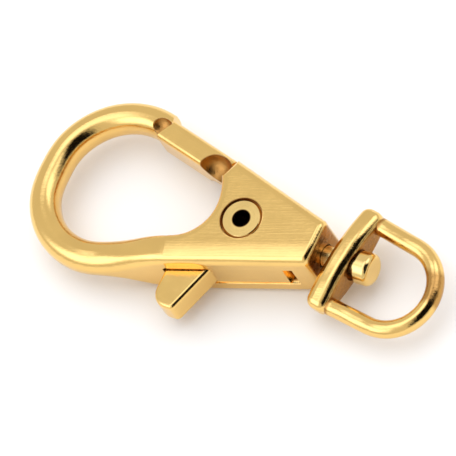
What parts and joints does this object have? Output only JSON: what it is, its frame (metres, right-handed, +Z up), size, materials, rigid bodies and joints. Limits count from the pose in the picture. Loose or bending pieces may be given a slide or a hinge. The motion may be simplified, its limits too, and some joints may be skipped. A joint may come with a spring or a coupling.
{
  "type": "swivel snap hook",
  "caption": "Small cast snap hook with a sprung trigger gate, tubular rivet pivot and a free-turning swivel eye for a strap or lanyard",
  "frame": {"origin": "middle of the bounding box in X and Y, on the surface the clasp lies on", "axes": "+X along the swivel axis from the hook to the eye, +Y toward the gate side, +Z up, square to the flat cheeks"},
  "size_m": [0.0396, 0.017, 0.0056],
  "materials": {
    "cast_gold": "polished gold plate over a zinc casting, faint brushing on the flat faces",
    "rivet_gold": "gold-plated rolled tube, lightly worn rim",
    "spring_wire": "bare spring wire"
  },
  "bodies": {
    "hook": {"hook_body": "cast_gold", "pivot_rivet": "rivet_gold", "gate_spring": "spring_wire"},
    "lever": {"gate_lever": "cast_gold"},
    "post": {"swivel_post": "rivet_gold"},
    "eye": {"swivel_eye": "cast_gold"}
  },
  "joints": [
    {"name": "gate_pivot", "type": "hinge", "parent": "hook", "child": "lever", "pos_m": [0.00104, 0.00045, 0.0028], "axis": [0, 0, 1], "range_deg": [0, 28], "stiffness_Nm_per_rad": 0.02, "springref_deg": -20.05, "deforming": ["gate_spring"]},
    {"name": "post_swivel", "type": "hinge", "parent": "hook", "child": "post", "pos_m": [0.0083, 0.00045, 0.0028], "axis": [1, 0, 0], "continuous": true},
    {"name": "eye_tilt", "type": "hinge", "parent": "post", "child": "eye", "pos_m": [0.01031, 0.00053, 0.00281], "axis": [0, -0.0872, 0.9962], "range_deg": [0, 20]}
  ]
}
